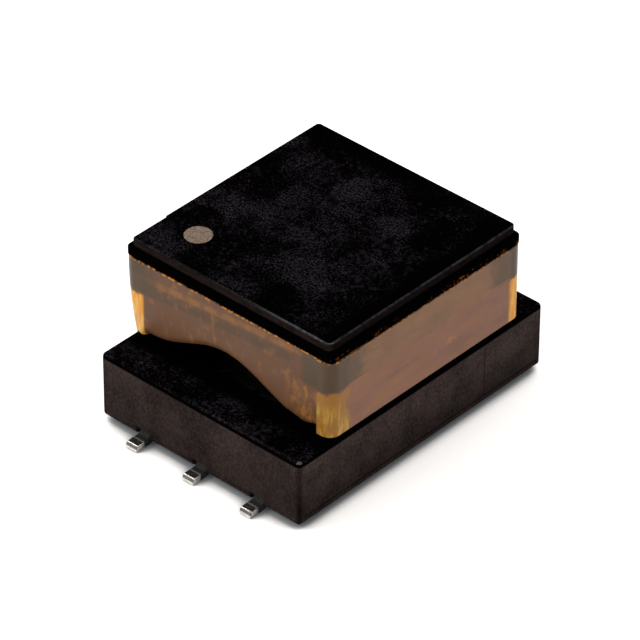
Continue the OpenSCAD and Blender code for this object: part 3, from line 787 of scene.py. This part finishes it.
def eased(name, node_name, blocks):
    """The part of a CAD node inside some rounded blocks, as a new piece."""
    shell = blocks[0]
    for other in blocks[1:]:
        cut(shell, other, "UNION")
        bpy.data.objects.remove(other)
    cut(shell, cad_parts[node_name], "INTERSECT")
    shell.name = name
    bpy.ops.object.shade_smooth_by_angle(angle=math.radians(25))
    even = shell.modifiers.new("even", "WEIGHTED_NORMAL")
    even.keep_sharp = True
    bpy.ops.object.modifier_apply(modifier="even")
    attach(shell, "root")
    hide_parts(node_name)
    return shell


# ---- operators ----

def dress(node_names, material):
    """Gives CAD nodes a material."""
    for name in node_names:
        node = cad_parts[name]
        for slot in node.material_slots:
            slot.material = material
        if not node.material_slots:
            node.data.materials.append(material)


class TRANSFORMER_OT_mouldings(bpy.types.Operator):
    """Finishes the base, the cap, the coil former and the round mark"""
    bl_idname = "transformer.mouldings"
    bl_label = "Mouldings"

    def execute(self, context):
        finish = context.scene.transformer_finishes
        sizes = context.scene.transformer_easing
        out = Vector((STAND_OUT, STAND_OUT, STAND_OUT))
        low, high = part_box("base_housing")
        base = eased("base_shell", "base_housing",
                     [block(Vector(low) - out, Vector(high) + out, sizes.base_corner,
                            sizes.base_edge)])
        base.data.materials.clear()
        base.data.materials.append(base_material(finish, low[2] / MM, high[2] / MM))
        low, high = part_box("top_cap")
        inset = Vector((sizes.ledge_side, sizes.ledge_end, 0)) - out
        shoulder = high[2] - sizes.plate_height
        plate = block(Vector((low[0], low[1], shoulder - 2 * sizes.plate_edge)) + inset,
                      Vector(high) - inset, sizes.plate_corner, sizes.plate_edge)
        rim = block(Vector(low) - out, Vector((high[0], high[1], shoulder)) + out,
                    sizes.rim_corner, sizes.rim_edge)
        cap = eased("cap_shell", "top_cap", [rim, plate])
        cap.data.materials.clear()
        cap.data.materials.append(cap_material(finish, high[2] / MM))
        dress(["coil_former"], plain_material("former_moulding", finish.former, 0.5, 0.08, 3.0))
        dress(["pin_one_mark"], mark_material(finish))
        return {"FINISHED"}


class TRANSFORMER_OT_metal(bpy.types.Operator):
    """Finishes the leads, the solder joints and the windings"""
    bl_idname = "transformer.metal"
    bl_label = "Leads and windings"

    def execute(self, context):
        finish = context.scene.transformer_finishes
        dress([f"terminal_{i}" for i in range(1, 7)], tin_material(finish))
        dress([f"solder_joint_{i}" for i in range(1, 7)],
              plain_material("solder", finish.solder, 0.28, 0.1, 8.0, 1.0))
        dress(["primary_winding", "secondary_winding"],
              plain_material("enamelled_wire", finish.copper, 0.32, 0.06, 5.0, 0.6))
        return {"FINISHED"}


class TRANSFORMER_OT_core(bpy.types.Operator):
    """Finishes the core halves, the coil tapes and the adhesive"""
    bl_idname = "transformer.core"
    bl_label = "Core and coil tapes"

    def execute(self, context):
        finish = context.scene.transformer_finishes
        dress(["core_lower", "core_upper"],
              plain_material("ferrite", finish.ferrite, 0.45, 0.08, 5.0, 0.0, 0.5))
        dress(["interlayer_tape", "coil_cover_tape"],
              plain_material("coil_tape", finish.coil_tape, 0.35, 0.06, 2.0))
        dress(["cap_adhesive"], plain_material("adhesive", finish.adhesive, 0.5, 0.1, 3.0))
        return {"FINISHED"}


class TRANSFORMER_OT_tape(bpy.types.Operator):
    """Models the tape wrap and gives it its amber film"""
    bl_idname = "transformer.tape"
    bl_label = "Tape wrap"

    def execute(self, context):
        scene = context.scene
        tape = make_tape(scene.transformer_tape)
        top_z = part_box("tape_wrap")[1][2] / MM
        tape.data.materials.append(film_material(scene.transformer_finishes, top_z))
        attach(tape, "root")
        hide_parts("tape_wrap")
        return {"FINISHED"}


def soft_lamp(name, direction, distance, size, watts):
    """A square soft lamp that faces the part."""
    lamp = bpy.data.lights.new(name, "AREA")
    lamp.shape = "SQUARE"
    lamp.size = size
    lamp.energy = watts
    holder = bpy.data.objects.new(name, lamp)
    aim = Vector(direction).normalized()
    holder.location = aim * distance
    holder.rotation_euler = aim.to_track_quat("Z", "Y").to_euler()
    bpy.context.collection.objects.link(holder)


SENSOR = 36             # width of the camera's sensor, in millimetres
CLIP = (0.005, 5)       # nearest and farthest things in view, in metres


def make_camera(stage):
    """A long lens at the part's display angle."""
    data = bpy.data.cameras.new("display_camera")
    data.sensor_width = SENSOR
    data.lens = stage.lens / MM
    data.clip_start, data.clip_end = CLIP
    camera = bpy.data.objects.new("display_camera", data)
    az, el = stage.azimuth, stage.elevation
    back = Vector((math.sin(az) * math.cos(el), -math.cos(az) * math.cos(el), math.sin(el)))
    level = Vector((math.cos(az), math.sin(az), 0))
    right = math.cos(stage.roll) * level + math.sin(stage.roll) * back.cross(level)
    turn = Matrix((right, back.cross(right), back)).transposed()
    target = Vector((stage.target_x, stage.target_y, stage.target_z))
    camera.matrix_world = Matrix.Translation(target + back * stage.distance) @ turn.to_4x4()
    bpy.context.collection.objects.link(camera)
    bpy.context.scene.camera = camera


def seen(g):
    """1 for rays from the camera and for reflections, 0 for lighting."""
    path = g.add("ShaderNodeLightPath").outputs
    return g.math("MAXIMUM", path["Is Camera Ray"],
                  g.math("MAXIMUM", path["Is Glossy Ray"], path["Is Transmission Ray"]))


def make_floor(stage):
    """A white floor that keeps the part's shadow, with a contact shadow painted from ambient
    occlusion.
    """
    deselect()
    bpy.ops.mesh.primitive_plane_add(size=2 * stage.floor)
    floor = bpy.context.object
    floor.name = "floor"
    material = bpy.data.materials.new("white_floor")
    material.use_nodes = True
    material.node_tree.nodes.clear()
    g = Graph(material.node_tree)
    close, wide = (
        g.add("ShaderNodeAmbientOcclusion", {"Distance": reach}, samples=16).outputs["AO"]
        for reach in (stage.close_shade, stage.wide_shade))
    # Painted contact shadow: darker paper and no lift to white where ambient occlusion finds the
    # part
    tone = g.mix(g.step(close, 0.35, 0.65), stage.floor_shade, stage.floor_open)
    paper = g.add("ShaderNodeBsdfDiffuse", {"Color": tone}).outputs[0]
    clear = g.product(g.step(close, 0.45, 0.72), g.step(wide, 0.15, 0.7, 0.2, 0.6))
    lift = g.add("ShaderNodeEmission",
                 {"Color": stage.floor_lift, "Strength": g.product(clear, seen(g))}).outputs[0]
    both = g.add("ShaderNodeAddShader", {0: paper, 1: lift}).outputs[0]
    g.feed(g.add("ShaderNodeOutputMaterial").inputs["Surface"], both)
    floor.data.materials.append(material)


def make_world(stage):
    """Even light all round. Reflections see a white room with a dark ceiling."""
    world = bpy.data.worlds.new("studio")
    world.use_nodes = True
    world.node_tree.nodes.clear()
    g = Graph(world.node_tree)
    path = g.add("ShaderNodeLightPath").outputs
    height = g.split(g.add("ShaderNodeTexCoord").outputs["Generated"])["Z"]
    room = g.step(height, 0.02, 0.3, 1.0, 0.03)
    mirror = g.math("MAXIMUM", path["Is Glossy Ray"], path["Is Transmission Ray"])
    light = g.add("ShaderNodeMix", {0: mirror, 2: stage.sky, 3: room}).outputs[0]
    level = g.add("ShaderNodeMix", {0: path["Is Camera Ray"], 2: light, 3: 1.0}).outputs[0]
    sky = g.add("ShaderNodeBackground", {"Color": (1, 1, 1), "Strength": level}).outputs[0]
    g.feed(g.add("ShaderNodeOutputWorld").inputs["Surface"], sky)
    bpy.context.scene.world = world


class TRANSFORMER_OT_stage(bpy.types.Operator):
    """Sets the camera, the white floor, the soft lamps and the world"""
    bl_idname = "transformer.stage"
    bl_label = "Stage"

    def execute(self, context):
        stage = context.scene.transformer_stage
        make_camera(stage)
        make_floor(stage)
        make_world(stage)
        soft_lamp("key_lamp", (-0.54, -0.59, 0.6), distance=0.25, size=0.12, watts=stage.key)
        soft_lamp("fill_lamp", (0.3, 0.2, 1.0), distance=0.3, size=0.3, watts=stage.fill)
        context.scene.view_settings.view_transform = "Standard"
        return {"FINISHED"}


class TRANSFORMER_PT_sidebar(bpy.types.Panel):
    """The transformer's tools and sizes"""
    bl_idname = "TRANSFORMER_PT_sidebar"
    bl_label = "Transformer"
    bl_space_type = "VIEW_3D"
    bl_region_type = "UI"
    bl_category = "Transformer"

    def draw(self, context):
        for operator in OPERATORS:
            self.layout.operator(operator.bl_idname)
        for name in SETTINGS:
            group = getattr(context.scene, name)
            box = self.layout.box()
            for key in group.bl_rna.properties.keys():
                if key not in ("rna_type", "name"):
                    box.prop(group, key)


SETTINGS = {"transformer_stage": StageSizes, "transformer_finishes": Finishes,
            "transformer_tape": TapeSizes, "transformer_easing": EasingSizes}
OPERATORS = [TRANSFORMER_OT_stage, TRANSFORMER_OT_mouldings, TRANSFORMER_OT_metal,
             TRANSFORMER_OT_core, TRANSFORMER_OT_tape]


def register():
    for cls in (*SETTINGS.values(), *OPERATORS, TRANSFORMER_PT_sidebar):
        bpy.utils.register_class(cls)
    for name, cls in SETTINGS.items():
        setattr(bpy.types.Scene, name, PointerProperty(type=cls))


def unregister():
    for name in SETTINGS:
        delattr(bpy.types.Scene, name)
    for cls in reversed((*SETTINGS.values(), *OPERATORS, TRANSFORMER_PT_sidebar)):
        bpy.utils.unregister_class(cls)


def main():
    register()
    bpy.ops.transformer.stage()
    bpy.ops.transformer.mouldings()
    bpy.ops.transformer.metal()
    bpy.ops.transformer.core()
    bpy.ops.transformer.tape()


if __name__ == "__main__":
    main()
